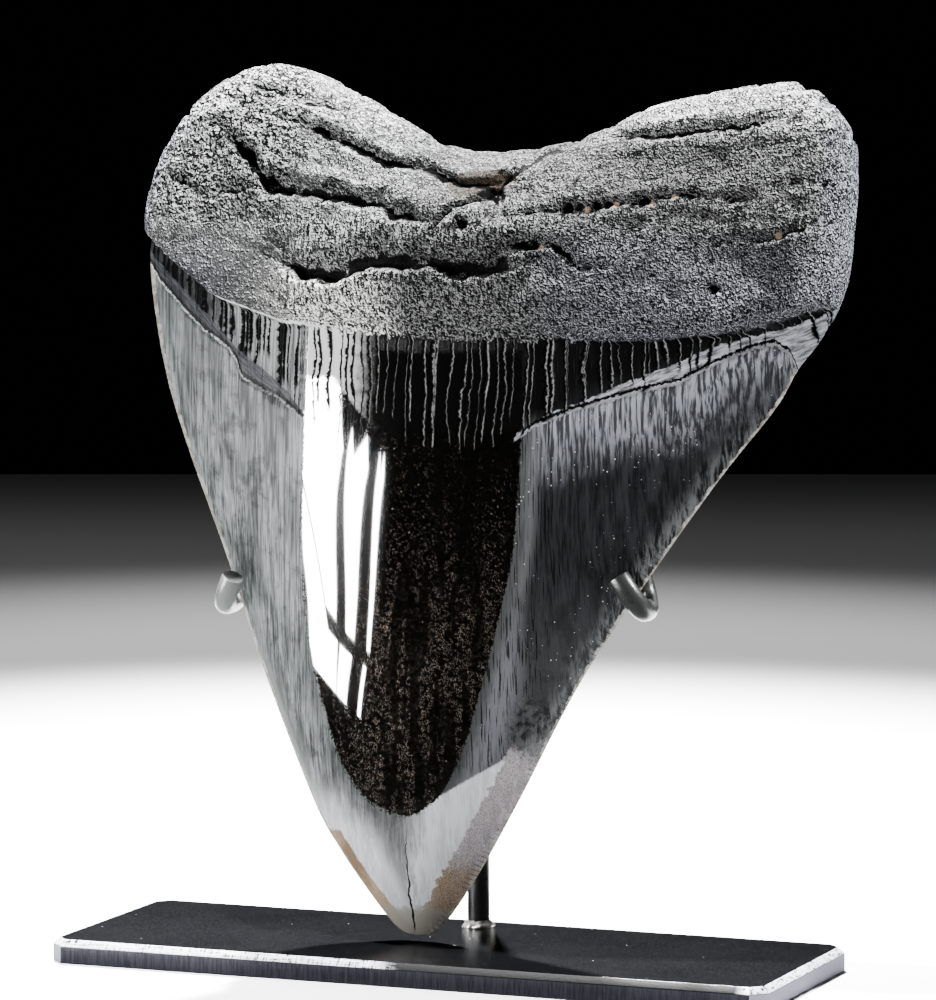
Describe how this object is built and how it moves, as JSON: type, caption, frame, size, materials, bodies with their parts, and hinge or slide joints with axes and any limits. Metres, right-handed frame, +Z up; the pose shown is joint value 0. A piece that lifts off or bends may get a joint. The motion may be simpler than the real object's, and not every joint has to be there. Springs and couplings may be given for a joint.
{
  "type": "megalodon tooth on stand",
  "caption": "Large fossil shark tooth with a rough two-lobed root and polished crown, resting point down in a bent-rod cradle on a flat chamfered steel base plate.",
  "frame": {"origin": "centre of the base plate's underside", "axes": "+Z up, -Y the way the tooth's convex face looks, +X towards its longer wing"},
  "size_m": [0.1105, 0.0382, 0.1277],
  "materials": {
    "fossil": "rough dark grey root, grey streaked enamel and a mirror-polished black tongue",
    "painted_steel": "satin charcoal paint over ground steel",
    "bare_braze": "bright bare bead"
  },
  "bodies": {
    "root": {"tooth": "fossil", "base_plate": "painted_steel", "post": "painted_steel", "cradle_rod": "painted_steel", "foot_weld": "bare_braze", "top_weld": "bare_braze"}
  },
  "joints": []
}
